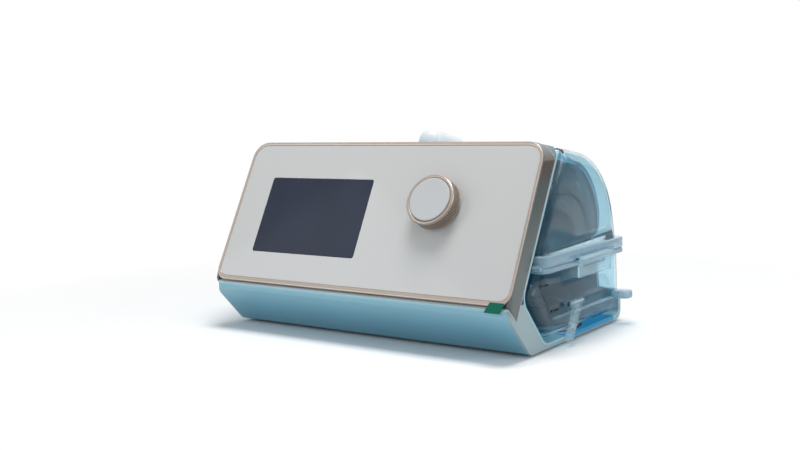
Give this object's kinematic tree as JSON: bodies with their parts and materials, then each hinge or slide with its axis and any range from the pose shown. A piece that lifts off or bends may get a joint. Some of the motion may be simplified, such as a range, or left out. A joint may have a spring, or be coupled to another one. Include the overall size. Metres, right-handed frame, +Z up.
{
  "type": "bedside positive airway pressure machine with humidifier",
  "caption": "Bedside breathing-air machine with a sloping white panel, display, push-and-turn knob, clear slide-out water chamber and a swivel hose port.",
  "frame": {"origin": "middle of the footprint, at the height the feet stand on", "axes": "+Z up, front panel faces -Y, water chamber slides out towards +X"},
  "size_m": [0.296, 0.1918, 0.1622],
  "materials": {
    "shell_blue": "satin",
    "liner_grey": "satin",
    "trim_champagne": "satin",
    "panel_white": "gloss",
    "screen_glass": "gloss",
    "circuit_board": "satin",
    "dark_plastic": "matte",
    "plain_plastic": "satin",
    "steel": "brushed",
    "knob_metal": "satin",
    "cap_white": "gloss",
    "foam": "matte",
    "rubber": "matte",
    "aluminium": "satin",
    "clear_tub": "clear gloss",
    "clear_lid": "clear gloss",
    "silicone": "satin",
    "mark_ink": "matte",
    "film_green": "satin",
    "film_blue": "satin",
    "port_white": "satin"
  },
  "bodies": {
    "chassis": {"base_shell": "shell_blue", "top_cover": "shell_blue", "bay_liner": "liner_grey", "front_frame": "trim_champagne", "fascia": "panel_white", "display_lens": "screen_glass", "lcd_module": "dark_plastic", "main_board": "circuit_board", "encoder_body": "steel", "encoder_bushing": "steel", "encoder_nut": "steel", "switch_dome": "steel", "muffler_box": "plain_plastic", "muffler_lid": "plain_plastic", "acoustic_foam": "foam", "blower_mounts": "rubber", "blower_lower_case": "dark_plastic", "blower_upper_case": "dark_plastic", "blower_motor": "steel", "motor_bearings": "steel", "inlet_duct": "plain_plastic", "flow_sensor": "circuit_board", "outlet_duct": "plain_plastic", "outlet_socket": "shell_blue", "filter_channel": "plain_plastic", "filter_pad": "foam", "power_board": "circuit_board", "dc_socket": "dark_plastic", "heater_insulator": "dark_plastic", "heater_plate": "aluminium", "port_seals": "rubber", "feet": "rubber", "case_screws": "steel", "film_tab": "film_green", "sill_film": "film_blue"},
    "knob_push": {"encoder_plunger": "plain_plastic"},
    "knob": {"knob_shaft": "steel", "knob_ring": "knob_metal", "knob_cap": "cap_white"},
    "rotor": {"rotor_shaft": "steel", "rotor_magnet": "dark_plastic", "impeller": "plain_plastic"},
    "elbow": {"outlet_elbow": "port_white"},
    "filter_door": {"filter_cover": "shell_blue"},
    "chamber": {"tub": "clear_tub", "tub_seal": "silicone", "lid": "clear_lid", "heat_base": "aluminium", "air_tube": "clear_lid", "level_marks": "mark_ink", "lid_hinge_pin": "steel", "clip_pin": "steel", "lever_pin": "steel"},
    "clip": {"lid_clip": "clear_lid"},
    "lever": {"release_lever": "clear_lid"}
  },
  "joints": [
    {"name": "knob_press", "type": "slide", "parent": "chassis", "child": "knob_push", "axis": [0, 0.8862, -0.4633], "range_m": [0, 0.0006], "stiffness_N_per_m": 3000, "springref_m": -0.0005},
    {"name": "knob_turn", "type": "hinge", "parent": "knob_push", "child": "knob", "pos_m": [0.0539, -0.05901, 0.10597], "axis": [0, -0.8862, 0.4633], "continuous": true},
    {"name": "impeller_spin", "type": "hinge", "parent": "chassis", "child": "rotor", "pos_m": [-0.083, 0.02707, 0.032], "axis": [0, 0, 1], "continuous": true},
    {"name": "outlet_swivel", "type": "hinge", "parent": "chassis", "child": "elbow", "pos_m": [-0.0155, 0.03807, 0.13796], "axis": [0, 0.1959, 0.9806], "continuous": true},
    {"name": "filter_cover_pull", "type": "slide", "parent": "chassis", "child": "filter_door", "axis": [0, 1, 0], "range_m": [0, 0.012]},
    {"name": "chamber_slide", "type": "slide", "parent": "chassis", "child": "chamber", "axis": [1, 0, 0], "range_m": [0, 0.11]},
    {"name": "lid_clip_swing", "type": "hinge", "parent": "chamber", "child": "clip", "pos_m": [0.1421, 0.02457, 0.06402], "axis": [0, -1, 0], "range_deg": [0, 70]},
    {"name": "release_lever_press", "type": "hinge", "parent": "chamber", "child": "lever", "pos_m": [0.1392, -0.00343, 0.032], "axis": [0, 1, 0], "range_deg": [0, 7], "stiffness_Nm_per_rad": 0.05, "springref_deg": -5.73}
  ]
}
